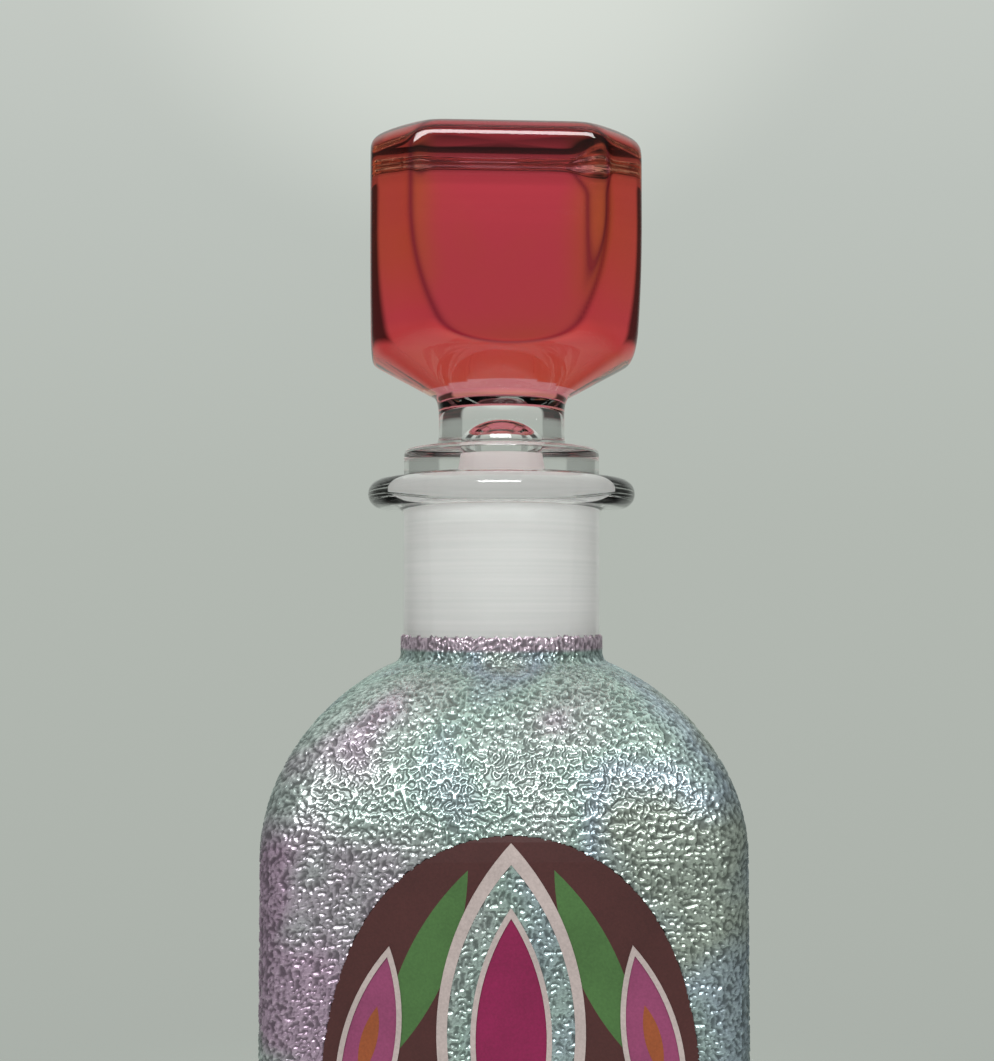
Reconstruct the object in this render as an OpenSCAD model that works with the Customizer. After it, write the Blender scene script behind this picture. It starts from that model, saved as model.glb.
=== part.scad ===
// Square glass decanter with a hammered lustre coat, an enamelled window and a ruby-stained glass stopper.
// Millimetres, +Z up. The origin is the middle of the base, and the window faces -Y.

/* [Body] */
// Width of the square body across its glass walls
body_w = 70; // [64:1:80]
// Radius of the body's four upright corners
corner_r = 6; // [4:0.5:9]
// Radius of the corners inside the body
inner_corner_r = 7; // [5.5:0.5:9]
// Thickness of the glass wall
wall = 4; // [3:0.5:4.5]
// Thickness of the glass under the liquid
base_t = 9; // [6:0.5:12]
// Height at which the straight walls turn into the shoulder
wall_h = 126; // [110:1:150]
// Radius of the shoulder's curve
shoulder_r = 28.5; // [27:0.5:30]
// Rounding between the base and the walls
base_edge_r = 3; // [2:0.5:3.5]
// Rounding between the floor and the walls inside
floor_edge_r = 5; // [3:0.5:5]
// Radius of the hollow pushed up into the base
punt_r = 22; // [16:1:26]
// Depth of the hollow in the base
punt_depth = 1.5; // [1:0.25:3]

/* [Neck] */
// Outside diameter of the neck
neck_od = 32.4; // [30:0.2:35]
// Radius of the fillet between the shoulder and the neck
neck_fillet = 2.2; // [1.5:0.1:3]
// Height from the foot of the neck to the top of the lip
neck_h = 28.5; // [26:0.5:34]
// Outside diameter of the lip
lip_od = 44.2; // [40:0.2:48]
// Thickness of the lip
lip_t = 4.7; // [4:0.1:5.5]
// Diameter of the ground bore at the mouth
mouth_d = 25.2; // [23:0.2:26]
// Length of the ground bore
ground_len = 21.8; // [18:0.2:23]
// Loss of radius for each millimetre of the ground bore
taper = 0.05; // [0.03:0.005:0.06]

/* [Stopper] */
// Running clearance between the ground plug and the ground bore
fit_clearance = 0.05; // [0.02:0.01:0.1]
// Gap between the lip and the collar, because the stopper seats on its taper
collar_gap = 0.3; // [0.2:0.1:0.6]
// Diameter of the collar
collar_d = 32.4; // [30:0.2:36]
// Thickness of the collar
collar_t = 4.7; // [3:0.1:6]
// Diameter of the stem at its waist
stem_d = 20.9; // [18:0.1:22]
// Height of the stem
stem_h = 8.8; // [6:0.2:12]
// Growth of the stem's radius where it meets the collar and the head
stem_flare = 0.7; // [0.3:0.1:1.2]
// Width of the head across its flat walls
head_w = 43.2; // [38:0.2:46]
// Diameter of the turned form that the flat walls cut
head_round_d = 53; // [50:0.5:56]
// Height of the head
head_h = 41; // [36:0.5:46]
// Slope of the head's conical underside, in degrees
under_slope = 28; // [22:1:34]
// Rounding of the heel between the underside and the sides
heel_r = 6.9; // [5:0.1:8]
// Height above the root at which the sides leave the heel
heel_h = 9.7; // [8.5:0.1:11]
// Height above the root at which the head reaches its full width
full_h = 27.4; // [22:0.2:32]
// Narrowing of the sides' radius where they leave the heel
side_in = 2.2; // [1:0.1:3]
// Rounding of the turned form's upper edge
head_edge_r = 5; // [4:0.1:6]
// Rounding of the flat walls' upper edges
flat_edge_r = 4.4; // [3:0.1:5]
// Rise of the head's domed top
dome_h = 0.4; // [0.2:0.1:1]
// Turn of the stopper in the neck as it stands, in degrees
stopper_turn = 2.5; // [0:0.5:10]
// Diameter of the hollow at the foot of the plug
hollow_d = 17; // [14:0.5:18]
// Diameter of the hollow inside the stem
hollow_top_d = 9; // [7:0.5:11]

/* [Coats] */
// Thickness of the hammered lustre coat and of the raised contour lines
coat_t = 0.5; // [0.3:0.05:0.7]
// Thickness of the flat enamels
enamel_t = 0.25; // [0.15:0.05:0.3]
// Thickness of the ruby stain on the stopper
stain_t = 0.15; // [0.1:0.05:0.25]
// Height of the coat's lower edge above the base
coat_start = 4; // [3.5:0.5:8]
// Rise of the coat above the foot of the neck
coat_rise = 3.4; // [2:0.2:6]

/* [Window] */
// Width of the enamelled window
window_w = 54.4; // [46:0.2:55]
// Height of the enamelled window
window_h = 112; // [90:1:118]
// Height of the window's centre above the base
window_z = 73.7; // [60:0.5:74]
// Shift of the window from the middle of the face
window_x = 0.8; // [-1:0.2:1]
// Squareness of the window's top and bottom curve
window_power = 3.6; // [2:0.1:4]
// Width of the raised contour lines
line_w = 1.5; // [1:0.1:2]

/* [Ornament] */
// Half of the length of the pointed crest
crest_l = 26.5; // [22:0.5:26.5]
// Half of the width of the crest
crest_w = 10.5; // [8:0.5:11]
// Height of the crest's middle above the window's centre
crest_z = 28.5; // [27:0.5:29]
// Half of the length of the petal inside the crest
heart_l = 17; // [12:0.5:18]
// Half of the width of the petal inside the crest
heart_w = 5; // [3.5:0.5:5.5]
// Half of the length of each leaf
leaf_l = 15; // [11:0.5:16]
// Half of the width of each leaf
leaf_w = 3.1; // [2:0.1:3.6]
// Half of the length of each side petal
petal_l = 15; // [11:0.5:16]
// Half of the width of each side petal
petal_w = 4.2; // [3:0.1:4.6]
// Half of the length of each bud
bud_l = 6.5; // [4:0.5:7]
// Half of the width of each bud
bud_w = 2.4; // [1.6:0.1:2.6]
// Radius of the small rosettes at mid height
rosette_r = 5.5; // [3.5:0.5:6]
// Distance of the side petals' middle from the window's widest edge
petal_inset = 7.2; // [6.4:0.2:8]
// Distance of each leaf's middle from the window's upright axis
leaf_x = 12.2; // [11:0.2:13]
// Height of each leaf's middle above the crest's middle
leaf_rise = 9; // [7:0.5:10]
// Distance of each bud's middle from the window's upright axis
bud_x = 10.8; // [10:0.2:12]
// Height of each bud's middle above the window's centre
bud_z = 11; // [10:0.5:12]
// Distance of each rosette from the window's upright axis
rosette_x = 17; // [15:0.5:19]

/* [Hidden] */
$fn = 72;

// Steps of one corner's arc, and of the shoulder's and the fillet's curves
corner_steps = 8;
shoulder_steps = 12;
fillet_steps = 4;
edge_steps = 4;
// Overlap that keeps a cut or a joint clean
eps = 1;
// Share of its half-width that a round ring's corner radius stays under, so that no two points meet
round_share = 0.985;

half = body_w / 2;
neck_r = neck_od / 2;
shoulder_x = half - shoulder_r;
fillet_x = neck_r + neck_fillet;
neck_z = wall_h + sqrt(pow(shoulder_r + neck_fillet, 2) - pow(fillet_x - shoulder_x, 2));
shoulder_end = atan2(neck_z - wall_h, fillet_x - shoulder_x);
lip_z = neck_z + neck_h;
mouth_r = mouth_d / 2;
ground_z = lip_z - ground_len;
ground_r = mouth_r - ground_len * taper;
// The plain throat under the ground bore is slightly narrower
throat_r = ground_r - 0.2;

collar_z = lip_z + collar_gap;
stem_z = collar_z + collar_t;
head_z = stem_z + stem_h;
head_r = head_round_d / 2;
root_r = stem_d / 2 + stem_flare;
// Angle that the sides lean from upright where they leave the heel
side_lean = atan(2 * side_in / (full_h - heel_h));
head_top = head_z + head_h - dome_h;
plug_z = ground_z;

coat_top = neck_z + coat_rise;

// Corner radius of the outside at a given half-width: round at the neck, squarer towards the walls
function outer_corner(w) = w > neck_r
    ? neck_r + (corner_r - neck_r) * (w - neck_r) / (half - neck_r) : w;
// Corner radius of the inside at a given half-width
function inner_corner(w) = w > throat_r
    ? throat_r + (inner_corner_r - throat_r) * (w - throat_r) / (half - wall - throat_r) : w;

// One ring of a rounded square: half-width w, corner radius c, height z
function ring(w, c, z) = let (r = min(c, w * round_share)) [
    for (q = [0:3]) for (j = [0:corner_steps])
        let (a = 90 * (q + j / corner_steps), m = 90 * q + 45)
        [(w - r) * sign(cos(m)) + r * cos(a), (w - r) * sign(sin(m)) + r * sin(a), z]
];

// Walls and shoulder of the outside as [half-width, corner radius, height], grown by t on every side
function side_rings(t) = [
    for (i = [0:shoulder_steps]) let (a = shoulder_end * i / shoulder_steps,
        w = shoulder_x + shoulder_r * cos(a))
        [w + t * cos(a), outer_corner(w) + t * cos(a), wall_h + (shoulder_r + t) * sin(a)]
];
// The fillet's rings stop just short of the neck, and the last ring lies inside the neck
function fillet_rings(t) = [
    for (i = [1:fillet_steps]) let (a = 180 + shoulder_end * (1 - 0.86 * i / fillet_steps),
        w = fillet_x + (neck_fillet - t) * cos(a))
        [w, outer_corner(w - t) + t, neck_z + (neck_fillet - t) * sin(a)],
    [neck_r - eps, neck_r - eps, neck_z + eps / 2]
];
function foot_rings() = concat([[half - base_edge_r, corner_r - base_edge_r, -eps]], [
    for (i = [0:edge_steps]) let (a = 90 * i / edge_steps, d = base_edge_r * (1 - sin(a)))
        [half - d, corner_r - d, base_edge_r * (1 - cos(a))]
]);
function cavity_rings() = concat([
    for (i = [0:edge_steps]) let (a = 90 * i / edge_steps, d = floor_edge_r * (1 - sin(a)))
        [half - wall - d, inner_corner_r - d, base_t + floor_edge_r * (1 - cos(a))]
], [
    for (i = [0:shoulder_steps]) let (a = cavity_end * i / shoulder_steps,
        w = shoulder_x + (shoulder_r - wall) * cos(a))
        [w, inner_corner(w), wall_h + (shoulder_r - wall) * sin(a)]
]);
// The cavity's curve runs on until it is inside the throat
cavity_end = acos(min(1, max(0, (throat_r - eps - shoulder_x) / (shoulder_r - wall))));

// A closed skin over a list of rings
module loft(rings) {
    n = 4 * (corner_steps + 1);
    polyhedron(
        points = [for (r = rings) each ring(r[0], r[1], r[2])],
        faces = concat(
            [[for (i = [0:n - 1]) i]],
            [for (k = [0:len(rings) - 2]) for (i = [0:n - 1]) each
                let (a = k * n + i, b = k * n + (i + 1) % n) [[a, a + n, b], [b, a + n, b + n]]],
            [[for (i = [n - 1:-1:0]) (len(rings) - 1) * n + i]]
        )
    );
}

// Outline of the lip, rounded at its nose, with a small fillet below it
function lip_outline() = let (r = lip_t / 2, x = lip_od / 2 - r, z = lip_z - r, f = 1.2) concat(
    [[neck_r - eps, lip_z]],
    [for (a = [90:-15:-90]) [x + r * cos(a), z + r * sin(a)]],
    [for (a = [90:30:180]) [neck_r + f + f * cos(a), lip_z - lip_t - f + f * sin(a)]],
    [[neck_r - eps, lip_z - lip_t - f]]
);

// The glass body with its neck and lip, before it is hollowed
module vessel_form() {
    difference() {
        loft(concat(foot_rings(), side_rings(0), fillet_rings(0)));
        translate([-body_w, -body_w, -2 * body_w]) cube([2 * body_w, 2 * body_w, 2 * body_w]);
    }
    translate([0, 0, neck_z - neck_fillet]) cylinder(r = neck_r, h = lip_z - neck_z + neck_fillet);
    rotate_extrude() polygon(lip_outline());
}

module vessel() {
    punt_ball = (punt_r * punt_r + punt_depth * punt_depth) / (2 * punt_depth);
    color([0.86, 0.9, 0.9, 0.5]) difference() {
        vessel_form();
        loft(cavity_rings());
        translate([0, 0, wall_h]) cylinder(r = throat_r, h = ground_z - wall_h + eps / 2);
        translate([0, 0, ground_z]) cylinder(r1 = ground_r, r2 = mouth_r, h = ground_len);
        translate([0, 0, lip_z - 0.01]) cylinder(r = mouth_r, h = eps);
        translate([0, 0, punt_depth - punt_ball]) sphere(r = punt_ball, $fn = 144);
    }
}

// A leaf shape between two arcs, pointing up: half-length l, half-width w
module lens(l, w) {
    r = (l * l + w * w) / (2 * w);
    intersection() {
        translate([w - r, 0]) circle(r = r, $fn = 180);
        translate([r - w, 0]) circle(r = r, $fn = 180);
    }
}

// The four places of a motif that is mirrored left to right and top to bottom
module four_ways() {
    for (sx = [0, 1]) for (sz = [0, 1]) mirror([sx, 0]) mirror([0, sz]) children();
}
module two_ways() {
    for (sz = [0, 1]) mirror([0, sz]) children();
}

module crests(grow) { two_ways() translate([0, crest_z]) lens(crest_l + 2 * grow, crest_w + grow); }
module hearts(grow) { two_ways() translate([0, crest_z - 1]) lens(heart_l + 2 * grow, heart_w + grow); }
module petals(grow) {
    four_ways() translate([window_w / 2 - petal_inset, crest_z - 2.5]) rotate(11)
        lens(petal_l + 2 * grow, petal_w + grow);
}
module leaves() { four_ways() translate([leaf_x, crest_z + leaf_rise]) rotate(24) lens(leaf_l, leaf_w); }
module buds(grow) { four_ways() translate([bud_x, bud_z]) rotate(-34) lens(bud_l + grow, bud_w + grow); }
module sparks() {
    four_ways() translate([window_w / 2 - petal_inset, crest_z - 1]) rotate(14)
        lens(petal_l / 3, petal_w / 3.6);
}
module rosettes() {
    for (sx = [-1, 1]) translate([sx * rosette_x, 0]) for (a = [0:60:300]) rotate(a)
        translate([0, rosette_r * 0.55]) lens(rosette_r * 0.45, rosette_r / 5);
}

// Outline of the window: a tall oval with full shoulders
module window_outline() {
    polygon([for (i = [0:95]) let (a = 360 * i / 96)
        [window_w / 2 * cos(a), window_h / 2 * sign(sin(a)) * pow(abs(sin(a)), 2 / window_power)]]);
}

// Puts a flat drawing on the front face, from t0 to t1 in front of the glass
module on_front(t0, t1) {
    face = concat([[half, half, coat_start]], [[half, half, wall_h]], side_rings(0));
    intersection() {
        translate([window_x, 0, window_z]) rotate([90, 0, 0]) translate([0, 0, half - eps * 4])
            linear_extrude(height = eps * 5) children();
        translate([-half, 0, 0]) rotate([90, 0, 90]) linear_extrude(height = body_w) polygon(concat(
            [for (p = face) [-p[0] - t0, p[2]]],
            [for (i = [len(face) - 1:-1:0]) [-face[i][0] - t1, face[i][2]]]
        ));
    }
}

// What the contour lines cover
module line_art() {
    difference() { crests(0); crests(-line_w); }
    difference() { hearts(line_w / 2); hearts(0); }
    difference() { petals(0); petals(-line_w / 2); crests(0); }
    difference() { buds(line_w / 2); buds(0); crests(0); petals(0); }
}
// Everything in the window that isn't hammered coat
module smooth_art() {
    difference() { window_outline(); crests(-line_w); }
    hearts(line_w / 2);
}
module raised_motifs() { crests(0); petals(0); buds(line_w / 2); }

module hammered_coat() {
    color([0.72, 0.78, 0.77]) difference() {
        union() {
            loft(concat([[half + coat_t, corner_r + coat_t, coat_start]], side_rings(coat_t),
                fillet_rings(coat_t)));
            translate([0, 0, neck_z - neck_fillet / 2]) cylinder(r = neck_r + coat_t,
                h = coat_top - neck_z + neck_fillet / 2);
        }
        translate([0, 0, wall_h]) cylinder(r = neck_r, h = lip_z);
        loft(concat([[half, corner_r, coat_start - eps]], side_rings(0), fillet_rings(0)));
        translate([window_x, 0, window_z]) rotate([90, 0, 0]) translate([0, 0, half - eps * 4])
            linear_extrude(height = eps * 6) smooth_art();
    }
}

module enamel_ground() {
    color([0.33, 0.17, 0.18]) on_front(0, enamel_t) difference() {
        window_outline();
        raised_motifs();
        leaves();
        rosettes();
    }
}

module enamel_leaves() {
    color([0.3, 0.48, 0.27]) on_front(0, enamel_t) difference() {
        union() { intersection() { leaves(); window_outline(); } rosettes(); }
        raised_motifs();
    }
}

module enamel_petals() {
    color([0.58, 0.28, 0.42]) on_front(0, enamel_t) difference() {
        intersection() { petals(-line_w / 2); window_outline(); }
        crests(0);
        sparks();
    }
}

module enamel_hearts() { color([0.54, 0.1, 0.32]) on_front(0, enamel_t) hearts(0); }

module enamel_buds() {
    color([0.7, 0.7, 0.17]) on_front(0, enamel_t) difference() { buds(0); crests(0); petals(0); }
}

module enamel_sparks() { color([0.6, 0.36, 0.2]) on_front(0, enamel_t) sparks(); }

module contour_lines() {
    color([0.85, 0.78, 0.78]) on_front(0, coat_t) intersection() { line_art(); window_outline(); }
}

// Height of the head's domed top at a distance from its middle
function dome(x) = head_top + dome_h * (1 - pow(x / (head_r - head_edge_r), 2));

// Outline of the turned form of the head, drawn in by an inset and reaching down past the root by drop
function head_outline(inset, drop) = let (r = head_r - inset, e = head_edge_r, foot = head_z + heel_h,
    heel = [head_r - side_in - heel_r * cos(side_lean), foot + heel_r * sin(side_lean)],
    root = root_r - inset / sin(under_slope), low = under_slope - 90) concat(
    [[0, head_z - drop], [root, head_z - drop]],
    drop > 0 ? [[root, head_z]] : [],
    [for (i = [0:6]) let (a = low - (low + side_lean) * i / 6) heel + (heel_r - inset) * [cos(a), sin(a)]],
    [for (i = [1:8]) [r - side_in * pow(1 - i / 8, 2), foot + (full_h - heel_h) * i / 8]],
    [for (a = [0:15:75]) [r - e + e * cos(a), head_top - inset - e + e * sin(a)]],
    [for (i = [8:-1:0]) let (x = (head_r - e) * i / 8) [max(0, x - inset * i / 8), dome(x) - inset]]
);

// Outline of the two flat-walled bars whose shared part cuts the head square
function bar_outline(inset) = let (w = head_w / 2 - inset, e = flat_edge_r, z = dome(w - e) - inset - e)
    concat(
        [[-w, head_z - eps], [w, head_z - eps]],
        [for (a = [0:15:90]) [w - e + e * cos(a), z + e * sin(a)]],
        [[0, z + 3 * e]],
        [for (a = [90:15:180]) [e - w + e * cos(a), z + e * sin(a)]]
    );

module head_form(inset, drop) {
    rotate(stopper_turn) intersection() {
        rotate_extrude() polygon(head_outline(inset, drop));
        rotate([90, 0, 0]) translate([0, 0, -head_w]) linear_extrude(height = 2 * head_w)
            polygon(bar_outline(inset));
        rotate([90, 0, 90]) translate([0, 0, -head_w]) linear_extrude(height = 2 * head_w)
            polygon(bar_outline(inset));
    }
}

// Outline of the plug, collar and stem
function stem_outline() = let (c = collar_d / 2, e = 0.8) concat(
    [[0, plug_z], [ground_r - fit_clearance - e, plug_z],
     [ground_r - fit_clearance + e * taper, plug_z + e],
     [mouth_r - fit_clearance + collar_gap * taper, collar_z],
     [c - e / 2, collar_z], [c, collar_z + e / 2]],
    [for (a = [0:30:90]) [c - e + e * cos(a), stem_z - e + e * sin(a)]],
    [for (i = [0:12]) let (t = i / 12) [stem_d / 2 + stem_flare * pow(2 * t - 1, 4), stem_z + stem_h * t]],
    [[0, head_z]]
);

// Outline of the hollow that runs up the plug into the stem
function hollow_outline() = let (r = hollow_top_d / 2) concat(
    [[0, plug_z - eps], [hollow_d / 2, plug_z - eps], [hollow_d / 2, plug_z + 2], [r, stem_z]],
    [for (a = [0:15:90]) [r * cos(a), head_z - r + r * sin(a)]]
);

module stopper_glass() {
    color([0.88, 0.9, 0.9, 0.5]) difference() {
        union() {
            head_form(stain_t, 0);
            rotate_extrude() polygon(stem_outline());
        }
        rotate_extrude() polygon(hollow_outline());
    }
}

module ruby_stain() {
    color([0.78, 0.2, 0.24, 0.8]) difference() {
        head_form(0, 0);
        head_form(stain_t, eps);
    }
}

vessel();
hammered_coat();
enamel_ground();
enamel_leaves();
enamel_petals();
enamel_hearts();
enamel_buds();
enamel_sparks();
contour_lines();
stopper_glass();
ruby_stain();
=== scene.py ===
from math import atan2, cos, exp, hypot, pi, radians, sin, sqrt, tan
import bmesh
import bpy
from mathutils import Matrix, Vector, noise


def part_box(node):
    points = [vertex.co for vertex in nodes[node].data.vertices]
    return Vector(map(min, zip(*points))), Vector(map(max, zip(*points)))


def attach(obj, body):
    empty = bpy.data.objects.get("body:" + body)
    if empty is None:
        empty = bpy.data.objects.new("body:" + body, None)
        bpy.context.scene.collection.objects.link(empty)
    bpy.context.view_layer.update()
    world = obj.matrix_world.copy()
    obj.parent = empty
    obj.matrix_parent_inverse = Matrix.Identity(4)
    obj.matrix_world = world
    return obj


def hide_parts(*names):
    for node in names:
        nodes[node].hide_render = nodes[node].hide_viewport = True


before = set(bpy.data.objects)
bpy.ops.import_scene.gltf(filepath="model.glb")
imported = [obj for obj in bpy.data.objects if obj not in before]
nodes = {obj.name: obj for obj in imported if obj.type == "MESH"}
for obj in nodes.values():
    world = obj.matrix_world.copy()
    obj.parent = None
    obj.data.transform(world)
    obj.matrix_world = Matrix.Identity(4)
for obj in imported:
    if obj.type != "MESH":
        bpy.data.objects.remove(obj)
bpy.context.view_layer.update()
scene = bpy.context.scene
scene.view_settings.view_transform = "Standard"
MM = 0.001

# View: a lens close to the bottle, level with the foot of its neck and tipped up a little, so that the head
# is seen from below and the shoulder from above. The lower half of the body is below the picture.
eye_distance = 248.8 * MM
eye_height = 163 * MM
eye_tilt = radians(2.65)
eye_turn = radians(0.9)
picture_height = 1061
focal_pixels = 1500
axis_offset_pixels = 4.5

camera = bpy.data.objects.new("camera", bpy.data.cameras.new("camera"))
scene.collection.objects.link(camera)
scene.camera = camera
camera.data.sensor_width = 36
camera.data.lens = camera.data.sensor_width * focal_pixels / picture_height
camera.data.shift_x = -axis_offset_pixels / picture_height
camera.location = (-eye_distance * sin(eye_turn), -eye_distance * cos(eye_turn), eye_height)
camera.rotation_euler = (pi / 2 + eye_tilt, 0, -eye_turn)

# Studio: a pale grey-green paper sweep, brightest behind the head, with a square soft light and a long strip
# light in front and a dim room behind the eye. The floor is matt paper that keeps the bottle's shadow.
pool_direction = (0, 0.88, 0.47)
floor_radius, fade_start, fade_end = 0.75, 0.1, 0.36


def linear(code):
    """Linear RGBA of an sRGB colour written as #RRGGBB."""
    parts = [int(code[i:i + 2], 16) / 255 for i in (1, 3, 5)]
    return [p / 12.92 if p <= 0.04045 else ((p + 0.055) / 1.055) ** 2.4 for p in parts] + [1]


def add(tree, kind, links=None, stops=None, **settings):
    """Adds a node with its settings, its inputs as links or values, and a colour ramp's stops."""
    node = tree.nodes.new(kind)
    for name, value in settings.items():
        setattr(node, name, value)
    for name, value in (links or {}).items():
        if isinstance(value, bpy.types.NodeSocket):
            tree.links.new(value, node.inputs[name])
        else:
            node.inputs[name].default_value = linear(value) if isinstance(value, str) else value
    if stops:
        ramp = node.color_ramp
        while len(ramp.elements) < len(stops):
            ramp.elements.new(1)
        for element, (place, code) in zip(ramp.elements, stops):
            element.position = place
            element.color = linear(code)
    return node


def new_material(name):
    """An empty material and its node tree."""
    material = bpy.data.materials.new(name)
    material.use_nodes = True
    material.node_tree.nodes.clear()
    return material, material.node_tree


scene.world = bpy.data.worlds.new("studio")
scene.world.use_nodes = True
sky = scene.world.node_tree
sky.nodes.clear()
direction = add(sky, "ShaderNodeTexCoord").outputs["Generated"]
sideways, backward, upward = add(sky, "ShaderNodeSeparateXYZ", {0: direction}).outputs[:]
height = add(sky, "ShaderNodeMapRange", {"Value": upward, "From Min": -0.4, "From Max": 0.6})
paper = add(sky, "ShaderNodeValToRGB", {0: height.outputs[0]}, stops=[
    (0.0, "#A6ACA6"), (0.2, "#ADB3AC"), (0.46, "#B3B9B2"), (0.66, "#BCC2BC"), (0.85, "#C9CEC8")])
# Pool of light on the paper above and behind the head
towards_pool = add(sky, "ShaderNodeVectorMath", {0: direction, 1: pool_direction}, operation="DOT_PRODUCT")
pool = add(sky, "ShaderNodeMapRange", {"Value": towards_pool.outputs["Value"], "From Min": 0.96,
                                       "From Max": 1.0}, interpolation_type="SMOOTHSTEP")
lit_paper = add(sky, "ShaderNodeMix", {"Factor": pool.outputs[0], 6: paper.outputs[0], 7: "#DADFD8"},
                data_type="RGBA")
# How far a direction points to either side, and how near it points to a corner of the paper tent once it is
# laid level: 0.5 at the corner itself
aside = add(sky, "ShaderNodeMath", {0: sideways}, operation="ABSOLUTE").outputs[0]
level = add(sky, "ShaderNodeVectorMath", {0: direction, 1: (1, 1, 0)}, operation="MULTIPLY")
level = add(sky, "ShaderNodeVectorMath", {0: level.outputs[0]}, operation="NORMALIZE")
level_side, level_back = add(sky, "ShaderNodeSeparateXYZ", {0: level.outputs[0]}).outputs[:2]
cornerwise = add(sky, "ShaderNodeMath", {0: level_side, 1: level_back}, operation="MULTIPLY")
cornerwise = add(sky, "ShaderNodeMath", {0: cornerwise.outputs[0]}, operation="ABSOLUTE").outputs[0]
# Each shade goes softly from one level to another while a part of the direction goes from start to end
shades = {}
for name, part, start, end, first, last in (
        # The lustre mirrors a dim room in front, the ground past the paper, dim sides and a bright ceiling
        ("room", backward, -0.7, 0.0, 0.35, 1.0),
        ("ground", upward, -0.5, -0.33, 0.12, 1.0),
        ("sides", aside, 0.45, 0.8, 1.0, 0.15),
        ("ceiling", upward, 0.5, 0.8, 1.0, 1.9),
        # Clear glass shows a paper tent with dark gaps at its corners, a dark slit where it meets the table
        # and a dark opening behind the eye. Its top, its lower paper and the table stay light.
        ("corner gaps", cornerwise, 0.4, 0.44, 1.0, 0.12),
        ("slit", upward, -0.305, -0.288, 0.06, 0.7),
        ("opening", level_back, -0.96, -0.8, 0.15, 0.96),
        ("top", upward, 0.5, 0.7, 0.0, 0.9),
        ("low paper", upward, 0.12, 0.17, 0.92, 0.0),
        ("table", upward, -0.48, -0.4, 0.6, 0.0)):
    shade = add(sky, "ShaderNodeMapRange", {"Value": part, "From Min": start, "From Max": end,
                                            "To Min": first, "To Max": last},
                interpolation_type="SMOOTHSTEP")
    shades[name] = shade.outputs[0]
mirrored = shades["room"]
for name in ("ground", "sides", "ceiling"):
    mirrored = add(sky, "ShaderNodeMath", {0: mirrored, 1: shades[name]}, operation="MULTIPLY").outputs[0]
# The tent brightens upward from the slit
brighter = add(sky, "ShaderNodeMapRange", {"Value": upward, "From Min": -0.288, "From Max": -0.05,
                                           "To Min": 1.0, "To Max": 1.43}).outputs[0]
low_paper = add(sky, "ShaderNodeMath", {0: shades["low paper"], 1: shades["slit"]}, operation="MULTIPLY")
tent = shades["corner gaps"]
for operation, shade in (("MULTIPLY", shades["slit"]), ("MULTIPLY", brighter),
                         ("MULTIPLY", shades["opening"]), ("MAXIMUM", shades["top"]),
                         ("MAXIMUM", low_paper.outputs[0]), ("MAXIMUM", shades["table"])):
    tent = add(sky, "ShaderNodeMath", {0: tent, 1: shade}, operation=operation).outputs[0]
path = add(sky, "ShaderNodeLightPath")
shown = add(sky, "ShaderNodeMix", {"Factor": path.outputs["Is Transmission Ray"], 2: mirrored, 3: tent})
shaded_paper = add(sky, "ShaderNodeMix", {"Factor": 1.0, 6: lit_paper.outputs[2], 7: shown.outputs[0]},
                   data_type="RGBA", blend_type="MULTIPLY")
seen = add(sky, "ShaderNodeMix", {"Factor": path.outputs["Is Camera Ray"], 6: shaded_paper.outputs[2],
                                  7: lit_paper.outputs[2]}, data_type="RGBA")
# Matt surfaces feel an even light, and those behind clear glass also the lamps' share that comes through it
even = add(sky, "ShaderNodeMix", {"Factor": path.outputs["Is Transmission Ray"], 6: "#C4C6C3", 7: "#FFFEFC"},
           data_type="RGBA")
felt = add(sky, "ShaderNodeMix", {"Factor": path.outputs["Diffuse Depth"], 6: seen.outputs[2],
                                  7: even.outputs[2]}, data_type="RGBA", clamp_factor=True)
glow = add(sky, "ShaderNodeBackground", {"Color": felt.outputs[2], "Strength": 1.0})
add(sky, "ShaderNodeOutputWorld", {"Surface": glow.outputs[0]})


def soft_light(name, place, target, size, watts):
    """A soft light of a width and height, at a place and aimed at a target, that glass doesn't show."""
    lamp = bpy.data.lights.new(name, "AREA")
    lamp.shape = "RECTANGLE"
    lamp.size, lamp.size_y = size
    lamp.energy = watts
    light = bpy.data.objects.new(name, lamp)
    scene.collection.objects.link(light)
    light.location = place
    light.rotation_euler = (Vector(target) - Vector(place)).to_track_quat("-Z", "Y").to_euler()
    light.visible_transmission = False
    return light


window_light = soft_light("window_light", place=(-0.3, -0.75, 0.42), target=(0, 0, 0.14), size=(0.3, 0.3),
                          watts=1.2)
window_light.visible_glossy = False
soft_light("front_strip", place=(-0.03, -0.7, 0.62), target=(0, 0, 0.2), size=(0.5, 0.22), watts=5.2)

floor_mesh = bmesh.new()
bmesh.ops.create_circle(floor_mesh, cap_ends=True, segments=96, radius=floor_radius)
floor = bpy.data.objects.new("floor", bpy.data.meshes.new("floor"))
floor_mesh.to_mesh(floor.data)
floor_mesh.free()
scene.collection.objects.link(floor)
# Matt paper, which fades into the sweep behind it
matt_paper, tree = new_material("matt_paper")
place = add(tree, "ShaderNodeTexCoord").outputs["Object"]
spread = add(tree, "ShaderNodeVectorMath", {0: place}, operation="LENGTH")
fade = add(tree, "ShaderNodeMapRange", {"Value": spread.outputs["Value"], "From Min": fade_start,
                                        "From Max": fade_end}, interpolation_type="SMOOTHSTEP")
matt = add(tree, "ShaderNodeBsdfPrincipled", {"Base Color": "#C9CFC8", "Roughness": 0.9,
                                              "Specular IOR Level": 0.1})
clear_edge = add(tree, "ShaderNodeBsdfTransparent")
blend = add(tree, "ShaderNodeMixShader", {0: fade.outputs[0], 1: matt.outputs[0], 2: clear_edge.outputs[0]})
add(tree, "ShaderNodeOutputMaterial", {"Surface": blend.outputs[0]})
floor.data.materials.append(matt_paper)

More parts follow.
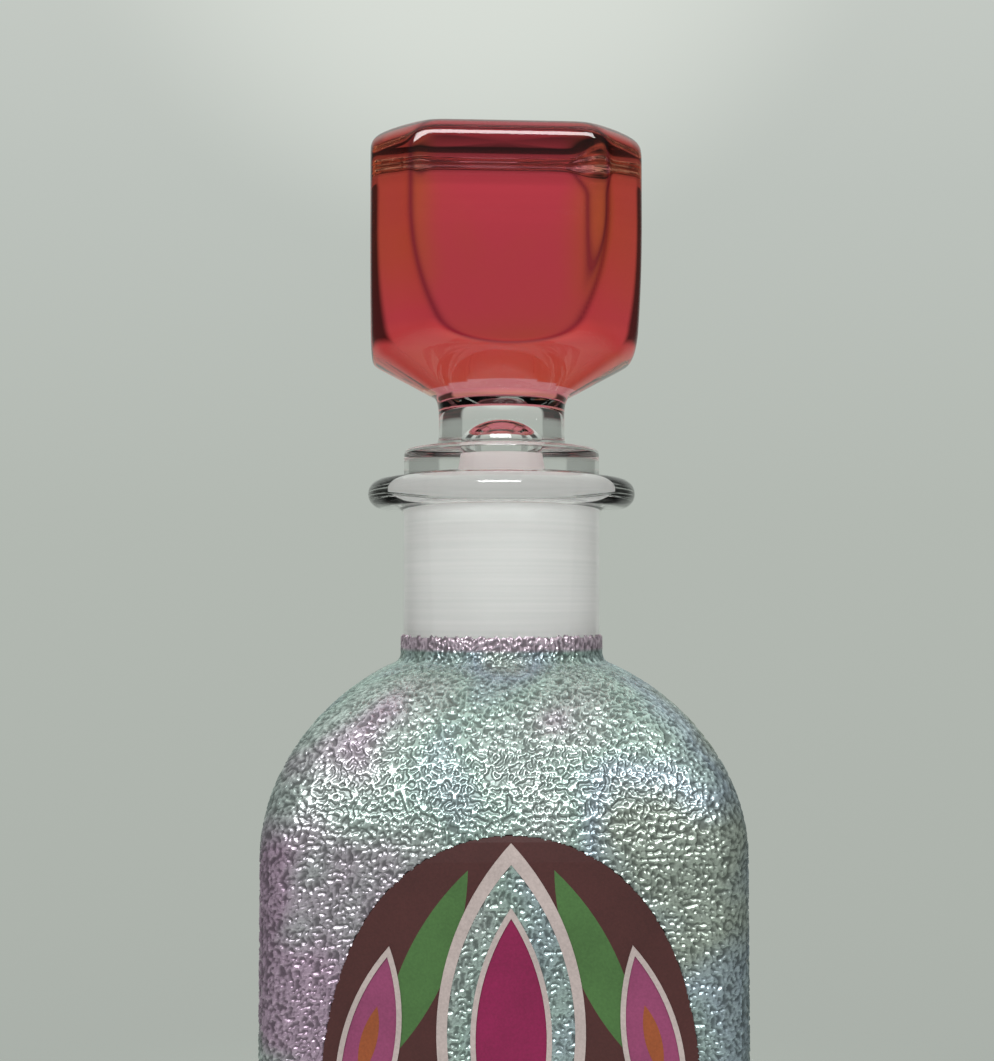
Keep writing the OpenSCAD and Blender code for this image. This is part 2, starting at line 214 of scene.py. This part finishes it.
# Vessel: the square bottle is blown in a mould from clear soda-lime glass, with thick walls, a heavy base and
# a pushed-up punt. Its neck and rolled lip are round, and the inside of the mouth is ground for the stopper.
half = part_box("vessel")[1].x
lip_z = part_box("vessel")[1].z
corner_r, inner_corner_r, wall, base_t = 6 * MM, 7 * MM, 4 * MM, 9 * MM
wall_h, shoulder_r, base_edge_r, floor_edge_r = 126 * MM, 28.5 * MM, 3 * MM, 5 * MM
punt_r, punt_depth = 22 * MM, 1.5 * MM
neck_r, neck_fillet, neck_h = 16.2 * MM, 2.2 * MM, 28.5 * MM
lip_r, lip_t, lip_fillet = 22.1 * MM, 4.7 * MM, 1.2 * MM
mouth_r, ground_len, taper, mouth_round = 12.6 * MM, 21.8 * MM, 0.05, 0.5 * MM
throat_step, frost_drop, ring_pitch = 0.2 * MM, 3 * MM, 0.5 * MM
vessel_steps, vessel_crowding = 192, 0.17
shoulder_x = half - shoulder_r
neck_z = lip_z - neck_h
fillet_x = neck_r + neck_fillet
shoulder_end = atan2(neck_z - wall_h, fillet_x - shoulder_x)
ground_r = mouth_r - ground_len * taper
throat_r = ground_r - throat_step


def outer_corner(w):
    """Corner radius of the outside where the half-width is w: round at the neck, squarer at the walls."""
    return neck_r + (corner_r - neck_r) * (w - neck_r) / (half - neck_r) if w > neck_r else w


def inner_corner(w):
    """Corner radius of the inside where the half-width is w."""
    share = (w - throat_r) / (half - wall - throat_r)
    return throat_r + (inner_corner_r - throat_r) * share if w > throat_r else w


def reach(w, c, angle):
    """Distance from the axis to a rounded square of half-width w and corner radius c, in a direction."""
    turn = abs((angle + pi / 4) % (pi / 2) - pi / 4)
    if w * tan(turn) <= w - c:
        return w / cos(turn)
    along = (w - c) * (cos(turn) + sin(turn))
    return along + sqrt(max(0, along * along - 2 * (w - c) ** 2 + c * c))


def arc(x, z, radius, start, end, steps):
    """Points of an arc in the profile plane, its angles in radians from the horizontal."""
    turns = [start + (end - start) * i / steps for i in range(steps + 1)]
    return [(x + radius * cos(a), z + radius * sin(a)) for a in turns]


def line(x1, z1, x2, z2, steps):
    """Points of a straight line in the profile plane."""
    return [(x1 + (x2 - x1) * i / steps, z1 + (z2 - z1) * i / steps) for i in range(steps + 1)]


def turned(profile, steps):
    """A bmesh spun from (radius, height, value) points, each vertex keeping its value in a layer."""
    bm = bmesh.new()
    kept = bm.verts.layers.float.new("kept")
    points = []
    for r, z, value in profile:
        point = bm.verts.new((r, 0, z))
        point[kept] = value
        points.append(point)
    edges = [bm.edges.new(pair) for pair in zip(points, points[1:])]
    bmesh.ops.spin(bm, geom=points + edges, cent=(0, 0, 0), axis=(0, 0, 1), angle=2 * pi, steps=steps,
                   use_merge=True)
    bmesh.ops.remove_doubles(bm, verts=bm.verts, dist=1e-6)
    bmesh.ops.recalc_face_normals(bm, faces=bm.faces)
    return bm


def finished(name, bm, materials):
    """Turns a bmesh into a named, smooth object with its materials."""
    mesh = bpy.data.meshes.new(name)
    for face in bm.faces:
        face.smooth = True
    bm.to_mesh(mesh)
    bm.free()
    for material in materials:
        mesh.materials.append(material)
    piece = bpy.data.objects.new(name, mesh)
    scene.collection.objects.link(piece)
    return piece


# Each point of the profile has its radius or half-width, its height and its corner radius
shoulder = arc(shoulder_x, wall_h, shoulder_r, 0, shoulder_end, 30)
shoulder += arc(fillet_x, neck_z, neck_fillet, pi + shoulder_end, pi, 8)[1:]
lip = arc(neck_r + lip_fillet, lip_z - lip_t - lip_fillet, lip_fillet, pi, pi / 2, 6)
lip += arc(lip_r - lip_t / 2, lip_z - lip_t / 2, lip_t / 2, -pi / 2, pi / 2, 20)
bore = arc(mouth_r + mouth_round, lip_z - mouth_round, mouth_round, pi / 2, pi, 5)
bore += line(mouth_r, lip_z, ground_r, lip_z - ground_len, 24)[1:]
punt_ball = (punt_r ** 2 + punt_depth ** 2) / (2 * punt_depth)
profile = [(r, sqrt(punt_ball ** 2 - r * r) - punt_ball + punt_depth, r) for r in
           [punt_r * i / 12 for i in range(13)]]
profile += [(half - base_edge_r + base_edge_r * sin(a), base_edge_r * (1 - cos(a)),
             corner_r - base_edge_r * (1 - sin(a))) for a in [pi / 2 * i / 8 for i in range(9)]]
profile += [(half, wall_h * i / 12, corner_r) for i in range(1, 12)]
profile += [(w, z, outer_corner(w)) for w, z in shoulder]
profile += [(r, z, r) for r, z in lip + bore]
cavity_end = atan2(sqrt((shoulder_r - wall) ** 2 - (throat_r - shoulder_x) ** 2), throat_r - shoulder_x)
profile += [(w, z, inner_corner(w)) for w, z in
            arc(shoulder_x, wall_h, shoulder_r - wall, cavity_end, 0, 24)]
profile += [(half - wall - floor_edge_r * (1 - cos(a)), base_t + floor_edge_r * (1 - sin(a)),
             inner_corner_r - floor_edge_r * (1 - cos(a))) for a in [pi / 2 * i / 8 for i in range(9)]]
profile += [(0, base_t, 0)]

vessel_mesh = turned(profile, vessel_steps)
corner = vessel_mesh.verts.layers.float["kept"]
for vert in vessel_mesh.verts:
    w = hypot(vert.co.x, vert.co.y)
    if w > 0:
        # Closer steps round the corners
        step = atan2(vert.co.y, vert.co.x)
        angle = step + vessel_crowding * sin(4 * step)
        far = reach(w, vert[corner], angle)
        vert.co.x, vert.co.y = far * cos(angle), far * sin(angle)
# Only the bore is ground
for face in vessel_mesh.faces:
    middle = face.calc_center_median()
    if neck_z - frost_drop < middle.z < lip_z - mouth_round and hypot(middle.x, middle.y) < mouth_r:
        face.material_index = 1

# Soda-lime glass, fire-polished: fully clear, with a faint green in its depth
clear_glass, tree = new_material("clear_soda_glass")
glass = add(tree, "ShaderNodeBsdfPrincipled", {"Base Color": "#FBFCFB", "Roughness": 0.0, "IOR": 1.5,
                                               "Transmission Weight": 1.0})
add(tree, "ShaderNodeOutputMaterial", {"Surface": glass.outputs[0]})

# Ground glass, lapped with grit on a turning spindle: an even white frost with faint rings round the bore
ground_glass, tree = new_material("ground_glass")
place = add(tree, "ShaderNodeTexCoord").outputs["Object"]
stretched = add(tree, "ShaderNodeMapping", {"Vector": place, "Scale": (20, 20, 1 / ring_pitch)})
rings = add(tree, "ShaderNodeTexNoise", {"Vector": stretched.outputs[0], "Scale": 1.0, "Detail": 3.0})
frost = add(tree, "ShaderNodeValToRGB", {0: rings.outputs["Fac"]}, stops=[(0.3, "#F0F3F1"), (0.7, "#FBFCFB")])
grit = add(tree, "ShaderNodeBump", {"Height": rings.outputs["Fac"], "Strength": 0.3, "Distance": 0.05 * MM})
frosted = add(tree, "ShaderNodeBsdfPrincipled", {"Base Color": frost.outputs[0], "Roughness": 0.8, "IOR": 1.5,
                                                 "Transmission Weight": 0.05, "Normal": grit.outputs[0]})
add(tree, "ShaderNodeOutputMaterial", {"Surface": frosted.outputs[0]})

vessel = finished("square_bottle", vessel_mesh, [clear_glass, ground_glass])
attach(vessel, "bottle")
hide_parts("vessel")

# Hammered coat: a silvery lustre over worm-like hammer marks covers the whole outside up to the foot of the
# neck, and stops round the enamelled window. It is a thin iridescent film, teal to lilac to blue.
coat_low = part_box("hammered_coat")[0].z
coat_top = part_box("hammered_coat")[1].z
film_t, ridge_h, ridge_spacing, lap = 0.17 * MM, 0.3 * MM, 0.92 * MM, 0.4 * MM
# The ridges' width in the noise's own unit, and the share and fineness of a second noise that bends them
ridge_width, bend, bend_fineness = 0.24, 0.4, 2.1
window_w, window_h, window_z, window_x, window_power = 54.4 * MM, 112 * MM, 73.7 * MM, 0.8 * MM, 3.6
window_rag, window_grain, front_depth = 0.25 * MM, 0.8 * MM, 4 * MM
edge_band, edge_margin, edge_rag, edge_grain = 2 * MM, 0.4 * MM, 0.5 * MM, 0.7 * MM
thin_run, thin_least, skirt = 0.4 * MM, 0.3, 0.42 * MM
line_w = 1.5 * MM
crest_l, crest_w, crest_z = 26.5 * MM, 10.5 * MM, 28.5 * MM
heart_l, heart_w, heart_drop = 17 * MM, 5 * MM, 1 * MM
front_split, fine_step, plain_step = 92 * MM, 0.19 * MM, 0.34 * MM
drift_size, tint_reach = 24 * MM, 36 * MM
ring_start, ring_full = coat_top - 3 * MM, coat_top - 2.4 * MM
total_run = wall_h - coat_low + (shoulder_r + neck_fillet) * shoulder_end + coat_top - neck_z
face_run = 2 * (half - corner_r) + corner_r * pi / 2


def in_lens(x, z, length, width):
    """Whether a point lies in an upright leaf between two arcs, of those half sizes."""
    r = (length * length + width * width) / (2 * width)
    return hypot(abs(x) + r - width, z) < r


def in_window(x, z):
    """Whether a point of the face lies in the tall oval window."""
    return (abs(x) * 2 / window_w) ** 2 + (abs(z) * 2 / window_h) ** window_power < 1


def is_smooth(x, z):
    """Whether a point of the front face holds enamel or a contour line and not hammered coat."""
    rag = 0.3 + noise.noise(Vector((x, 9 * MM, z)) / window_grain)
    ragged = 1 + rag * window_rag / hypot(x, z - window_z)
    x, z = x - window_x, z - window_z
    # The coat laps under the contour lines, and its edge at the window laps over the enamel
    in_crest = in_lens(x, abs(z) - crest_z, crest_l - 2 * (line_w - lap), crest_w - line_w + lap)
    in_heart = in_lens(x, abs(z) - crest_z + heart_drop, heart_l + line_w - 2 * lap,
                       heart_w + line_w / 2 - lap)
    return (in_window(x * ragged, z * ragged) and not in_crest) or in_heart


def hammer(x, y, z):
    """Height from 0 to 1 of the ridges, which follow the zero lines of a smooth noise."""
    p = Vector((x, y, z)) / ridge_spacing
    value = noise.noise(p) + bend * noise.noise(p * bend_fineness + Vector((7, 3, 5)))
    return exp(-(value / ridge_width) ** 2)


def side_profile(run):
    """Half-width, height and slope of the outside at a run of metres up from the coat's lower edge."""
    straight = wall_h - coat_low
    if run < straight:
        return half, coat_low + run, 0
    run -= straight
    if run < shoulder_r * shoulder_end:
        a = run / shoulder_r
        return shoulder_x + shoulder_r * cos(a), wall_h + shoulder_r * sin(a), a
    run -= shoulder_r * shoulder_end
    if run < neck_fillet * shoulder_end:
        a = shoulder_end - run / neck_fillet
        return fillet_x - neck_fillet * cos(a), neck_z - neck_fillet * sin(a), a
    return neck_r, neck_z + run - neck_fillet * shoulder_end, 0


def face_angle(share):
    """Direction from the axis of the point at a share, -1 to 1, of the way across one face."""
    across = share * face_run / 2
    flat = half - corner_r
    if abs(across) <= flat:
        return atan2(across, half)
    a = (abs(across) - flat) / corner_r
    turn = atan2(flat + corner_r * sin(a), flat + corner_r * cos(a))
    return turn if across > 0 else -turn


def coat_patch(name, facing, low, high, step):
    """One face of the coat between two runs, as a grid wrapped on the glass and raised in ridges."""
    columns, rows = round(face_run / step), round((high - low) / step)
    bm = bmesh.new()
    ridge = bm.verts.layers.float.new("ridge")
    bmesh.ops.create_grid(bm, x_segments=columns, y_segments=rows, size=1)
    gone = []
    for vert in bm.verts:
        run = low + (high - low) * (vert.co.y + 1) / 2
        angle = facing + face_angle(vert.co.x)
        w, z, slope = side_profile(run)
        c = outer_corner(w)
        far = reach(w, c, angle)
        mark = hammer(far * cos(angle), far * sin(angle), z)
        # The film thins towards its lower edge and its ragged upper edge
        rag = noise.noise(Vector((far * cos(angle), far * sin(angle), 0)) / edge_grain)
        end = total_run - edge_margin - edge_rag * rag if run > total_run - edge_band else total_run
        grown = (film_t + ridge_h * mark) * max(thin_least, min(1, min(run, end - run) / thin_run))
        far = reach(w + grown * cos(slope), c + grown * cos(slope), angle)
        vert[ridge] = mark
        vert.co = (far * cos(angle), far * sin(angle), z + grown * sin(slope))
        if run > end or vert.co.y < front_depth - half and is_smooth(vert.co.x, vert.co.z):
            gone.append(vert)
    bmesh.ops.delete(bm, geom=gone, context="VERTS")
    bmesh.ops.recalc_face_normals(bm, faces=bm.faces)
    # Its sharp edges turn down to the glass
    border = [edge for edge in bm.edges if edge.is_boundary]
    for edge in border:
        edge.smooth = False
    rim = bmesh.ops.extrude_edge_only(bm, edges=border)
    for vert in (v for v in rim["geom"] if isinstance(v, bmesh.types.BMVert)):
        vert.co.xy *= 1 - skirt / hypot(vert.co.x, vert.co.y)
    piece = finished(name, bm, [lustre])
    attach(piece, "bottle")
    return piece


# Fired lustre, a metal film a few hundred nanometres thick over hammered glass: glossier on the ridges, with
# a painted highlight lightening the ridges' colour and painted shade darkening the hollows, and its colour
# drifts slowly over the bottle
lustre, tree = new_material("hammered_silver_lustre")
place = add(tree, "ShaderNodeTexCoord").outputs["Object"]
drift = add(tree, "ShaderNodeTexNoise", {"Vector": place, "Scale": 1 / drift_size, "Detail": 2.0,
                                         "Roughness": 0.4})
split = add(tree, "ShaderNodeSeparateXYZ", {0: place})
across = add(tree, "ShaderNodeMapRange", {"Value": split.outputs["X"], "From Min": -tint_reach,
                                          "From Max": tint_reach, "To Min": -0.12, "To Max": 0.14})
hue = add(tree, "ShaderNodeMath", {0: drift.outputs["Fac"], 1: across.outputs[0]}, operation="ADD")
tint = add(tree, "ShaderNodeValToRGB", {0: hue.outputs[0]}, stops=[
    (0.3, "#A893A6"), (0.42, "#A3ADAA"), (0.52, "#9BAFA8"), (0.62, "#94A3AB"), (0.74, "#99A49A")])
# A lilac ring round the foot of the neck
lilac_ring = add(tree, "ShaderNodeMapRange", {"Value": split.outputs["Z"], "From Min": ring_start,
                                              "From Max": ring_full})
tint = add(tree, "ShaderNodeMix", {"Factor": lilac_ring.outputs[0], 6: tint.outputs[0], 7: "#BFAFBB"},
           data_type="RGBA")
ridge_top = add(tree, "ShaderNodeAttribute", attribute_name="ridge").outputs["Fac"]
# Painted highlight and shade: the colour is lightened on the ridge tops and darkened in the hollows
painted_ridge_shading = add(tree, "ShaderNodeMapRange", {"Value": ridge_top, "To Min": 0.45, "To Max": 1.42})
shaded = add(tree, "ShaderNodeMix", {"Factor": 1.0, 6: tint.outputs[2], 7: painted_ridge_shading.outputs[0]},
             data_type="RGBA", blend_type="MULTIPLY")
polish = add(tree, "ShaderNodeMapRange", {"Value": ridge_top, "To Min": 0.36, "To Max": 0.22})
film = add(tree, "ShaderNodeBsdfPrincipled", {"Base Color": shaded.outputs[2], "Metallic": 0.6,
                                              "Roughness": polish.outputs[0]})
add(tree, "ShaderNodeOutputMaterial", {"Surface": film.outputs[0]})

coat_front = coat_patch("coat_front_upper", -pi / 2, front_split, total_run, fine_step)
coat_patch("coat_front_lower", -pi / 2, 0, front_split, fine_step)
coat_patch("coat_right", 0, 0, total_run, plain_step)
coat_patch("coat_back", pi / 2, 0, total_run, plain_step)
coat_patch("coat_left", pi, 0, total_run, plain_step)
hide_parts("hammered_coat")

# Enamels: opaque glass colours screened on the smooth window and fired. Each is a flat, satin film with a
# fine grain, and a generic leaf and petal ornament fills the window.
grain_size, mottle_size, pore_depth = 0.35 * MM, 9 * MM, 0.05 * MM


def fired_enamel(name, code, node_name):
    """A satin enamel of one colour with fine grain and slow mottling, given to a CAD node."""
    material, tree = new_material(name)
    place = add(tree, "ShaderNodeTexCoord").outputs["Object"]
    grain = add(tree, "ShaderNodeTexNoise", {"Vector": place, "Scale": 1 / grain_size, "Detail": 4.0})
    mottle = add(tree, "ShaderNodeTexNoise", {"Vector": place, "Scale": 1 / mottle_size, "Detail": 2.0})
    amount = add(tree, "ShaderNodeMath", {0: grain.outputs["Fac"], 1: mottle.outputs["Fac"]}, operation="ADD")
    level = add(tree, "ShaderNodeMapRange", {"Value": amount.outputs[0], "From Min": 0.6, "From Max": 1.4,
                                             "To Min": 0.8, "To Max": 1.2})
    colour = add(tree, "ShaderNodeMix", {"Factor": 1.0, 6: code, 7: level.outputs[0]}, data_type="RGBA",
                 blend_type="MULTIPLY")
    pores = add(tree, "ShaderNodeBump", {"Height": grain.outputs["Fac"], "Strength": 0.25,
                                         "Distance": pore_depth})
    satin = add(tree, "ShaderNodeBsdfPrincipled", {"Base Color": colour.outputs[2], "Roughness": 0.45,
                                                   "IOR": 1.5, "Normal": pores.outputs[0]})
    add(tree, "ShaderNodeOutputMaterial", {"Surface": satin.outputs[0]})
    for slot in nodes[node_name].material_slots:
        slot.material = material


fired_enamel("maroon_enamel", "#43201F", "enamel_ground")
fired_enamel("green_enamel", "#3E6132", "enamel_leaves")
fired_enamel("pink_enamel", "#7E365A", "enamel_petals")
fired_enamel("magenta_enamel", "#780B40", "enamel_hearts")
fired_enamel("yellow_green_enamel", "#A2A21E", "enamel_buds")
fired_enamel("orange_enamel", "#84421F", "enamel_sparks")
fired_enamel("contour_enamel", "#A39693", "contour_lines")

# Stopper: one piece of pressed and turned glass. Its round head is cut flat on four sides and fire-polished.
# Its plug and the hollow inside it are ground, and the head alone is stained ruby over its whole surface.
plug_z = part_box("stopper_glass")[0].z
top_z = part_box("ruby_stain")[1].z
collar_z = lip_z + 0.3 * MM
collar_r, collar_t, collar_edge = 16.2 * MM, 4.7 * MM, 0.8 * MM
stem_r, stem_h, stem_flare = 10.45 * MM, 8.8 * MM, 0.7 * MM
head_half, head_r, under_slope, heel_r = 21.6 * MM, 26.5 * MM, radians(28), 6.9 * MM
heel_h, full_h, side_in = 9.7 * MM, 27.4 * MM, 2.2 * MM
head_edge_r, flat_edge_r, dome_h, stopper_turn = 5 * MM, 3 * MM, 0.1 * MM, radians(2.5)
hollow_r, hollow_mouth_h, hollow_top_r, hollow_top_drop = 8.5 * MM, 2 * MM, 4.5 * MM, 4 * MM
fit_clearance, plug_skin = 0.05 * MM, 0.2 * MM
stopper_steps, stopper_crowding, crease_power, crease_w = 440, 0.12, 60, 0.4 * MM
stain_foot, stain_wave, amber_h, amber_r, cloud_size = 1.1 * MM, 0.3 * MM, 16 * MM, 23.5 * MM, 14 * MM
stem_z = collar_z + collar_t
head_z = stem_z + stem_h
head_top = top_z - dome_h
full_z = head_z + full_h
root_r = stem_r + stem_flare
rim_r = head_r - head_edge_r
rim_z = head_top - head_edge_r
side_lean = atan2(2 * side_in, full_h - heel_h)
heel_x = head_r - side_in - heel_r * cos(side_lean)
heel_z = head_z + heel_h + heel_r * sin(side_lean)
plug_foot = ground_r - fit_clearance
plug_top = mouth_r - fit_clearance
collar_foot_r = collar_edge / 2
hollow_bend_z, hollow_ground_z = stem_z - 1 * MM, stem_z - 0.5 * MM

# From the top's middle down the head's outside: rim, upright, swelling side, heel, cone and root
head = line(0, head_top, rim_r, head_top, 14)
head += arc(rim_r, rim_z, head_edge_r, pi / 2, 0, 20)[1:]
head += line(head_r, rim_z, head_r, full_z, 8)[1:]
head += [(head_r - side_in * (i / 24) ** 2, full_z - (full_h - heel_h) * i / 24) for i in range(1, 24)]
head += arc(heel_x, heel_z, heel_r, -side_lean, under_slope - pi / 2, 24)
head += line(*head[-1], root_r, head_z, 20)[1:]
# Then stem, collar and plug, and up the hollow to its own top
lower = [(stem_r + stem_flare * (2 * t - 1) ** 4, stem_z + stem_h * t) for t in
         [1 - i / 16 for i in range(1, 17)]]
lower += arc(collar_r - collar_edge, stem_z - collar_edge, collar_edge, pi / 2, 0, 6)
lower += arc(collar_r - collar_foot_r, collar_z + collar_foot_r, collar_foot_r, 0, -pi / 2, 4)
lower += line(plug_top, lip_z, plug_foot, plug_z, 20)[:-1]
lower += arc(plug_foot - collar_edge, plug_z + collar_edge, collar_edge, 0, -pi / 2, 5)
lower += [(hollow_r, plug_z), (hollow_r, plug_z + hollow_mouth_h), (hollow_top_r, hollow_bend_z)]
lower += arc(0, head_z - hollow_top_drop - hollow_top_r, hollow_top_r, 0, pi / 2, 10)

# Each point keeps 1 on the head and 0 below it
stopper_mesh = turned([(r, z, 1) for r, z in head] + [(r, z, 0) for r, z in lower], stopper_steps)


def cut_flat(r, z, angle):
    """Radius that a turned point of the head keeps once the four sides are cut flat and rounded at the top,
    and its nearness, 0 to 1, to the crease between the turned form and a flat."""
    turn = abs((angle - stopper_turn + pi / 4) % (pi / 2) - pi / 4)
    above = max(0, z - head_top + flat_edge_r)
    flat = (head_half - flat_edge_r + sqrt(max(0, flat_edge_r ** 2 - above ** 2))) / cos(turn)
    radius = (r ** -crease_power + flat ** -crease_power) ** (-1 / crease_power)
    return radius, exp(-((r - flat) / crease_w) ** 2)


near_crease = stopper_mesh.verts.layers.float.new("near_crease")
on_head = stopper_mesh.verts.layers.float["kept"]
for vert in stopper_mesh.verts:
    r, z = hypot(vert.co.x, vert.co.y), vert.co.z
    if r == 0 and z > head_z:
        vert.co.z += dome_h
    if r == 0 or vert[on_head] < 0.5:
        continue
    step = atan2(vert.co.y, vert.co.x) - stopper_turn
    angle = step + stopper_crowding * sin(4 * step) + stopper_turn
    if z > head_top - 1e-7:
        # The flat top shrinks inside the cut rim and rises to a faint dome
        share = r / rim_r
        kept_r = share * cut_flat(rim_r, head_top, angle)[0]
        z += dome_h * (1 - share ** 2)
    else:
        kept_r, vert[near_crease] = cut_flat(r, z, angle)
    vert.co = (kept_r * cos(angle), kept_r * sin(angle), z)
bmesh.ops.recalc_face_normals(stopper_mesh, faces=stopper_mesh.faces)
# The stain ends in a gentle wave just above the root, and the grinding inside the collar
for face in stopper_mesh.faces:
    middle = face.calc_center_median()
    r = hypot(middle.x, middle.y)
    if middle.z > head_z + stain_foot + stain_wave * sin(3 * atan2(middle.y, middle.x)):
        face.material_index = 1
    elif middle.z < lip_z and r > plug_foot - plug_skin or middle.z < hollow_ground_z and r < hollow_r:
        face.material_index = 2

# Ruby stain, copper and gold fired into the surface: it tints what passes through, rose in the middle of each
# flat, and turns amber near the root and the corners
ruby_glass, tree = new_material("ruby_stained_glass")
place = add(tree, "ShaderNodeTexCoord").outputs["Object"]
split = add(tree, "ShaderNodeSeparateXYZ", {0: place})
near_root = add(tree, "ShaderNodeMapRange", {"Value": split.outputs["Z"], "From Min": head_z,
                                             "From Max": head_z + amber_h, "To Min": 0.9, "To Max": 0.0},
                interpolation_type="SMOOTHSTEP")
level = add(tree, "ShaderNodeMapping", {"Vector": place, "Scale": (1, 1, 0)})
out = add(tree, "ShaderNodeVectorMath", {0: level.outputs[0]}, operation="LENGTH")
corners = add(tree, "ShaderNodeMapRange", {"Value": out.outputs["Value"], "From Min": amber_r,
                                           "From Max": head_r, "To Min": 0.0, "To Max": 0.95},
              interpolation_type="SMOOTHSTEP")
cloud = add(tree, "ShaderNodeTexNoise", {"Vector": place, "Scale": 1 / cloud_size, "Detail": 2.0})
cloudy = add(tree, "ShaderNodeMapRange", {"Value": cloud.outputs["Fac"], "From Min": 0.35, "From Max": 0.65,
                                          "To Min": -0.12, "To Max": 0.18})
amber = add(tree, "ShaderNodeMath", {0: near_root.outputs[0], 1: corners.outputs[0]}, operation="MAXIMUM")
amber = add(tree, "ShaderNodeMath", {0: amber.outputs[0], 1: cloudy.outputs[0]}, operation="ADD",
            use_clamp=True)
stain = add(tree, "ShaderNodeMix", {"Factor": amber.outputs[0], 6: "#EE4A5C", 7: "#DE6238"},
            data_type="RGBA")
# Painted shade darkens the colour along the creases
crease_shade_mask = add(tree, "ShaderNodeAttribute", attribute_name="near_crease").outputs["Fac"]
stain = add(tree, "ShaderNodeMix", {"Factor": crease_shade_mask, 6: stain.outputs[2], 7: "#7A1226"}, data_type="RGBA")
stained = add(tree, "ShaderNodeBsdfPrincipled", {"Base Color": stain.outputs[2], "Roughness": 0.0, "IOR": 1.5,
                                                 "Transmission Weight": 1.0})
add(tree, "ShaderNodeOutputMaterial", {"Surface": stained.outputs[0]})

stopper = finished("ruby_stopper", stopper_mesh, [clear_glass, ruby_glass, ground_glass])
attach(stopper, "stopper")
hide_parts("stopper_glass", "ruby_stain")
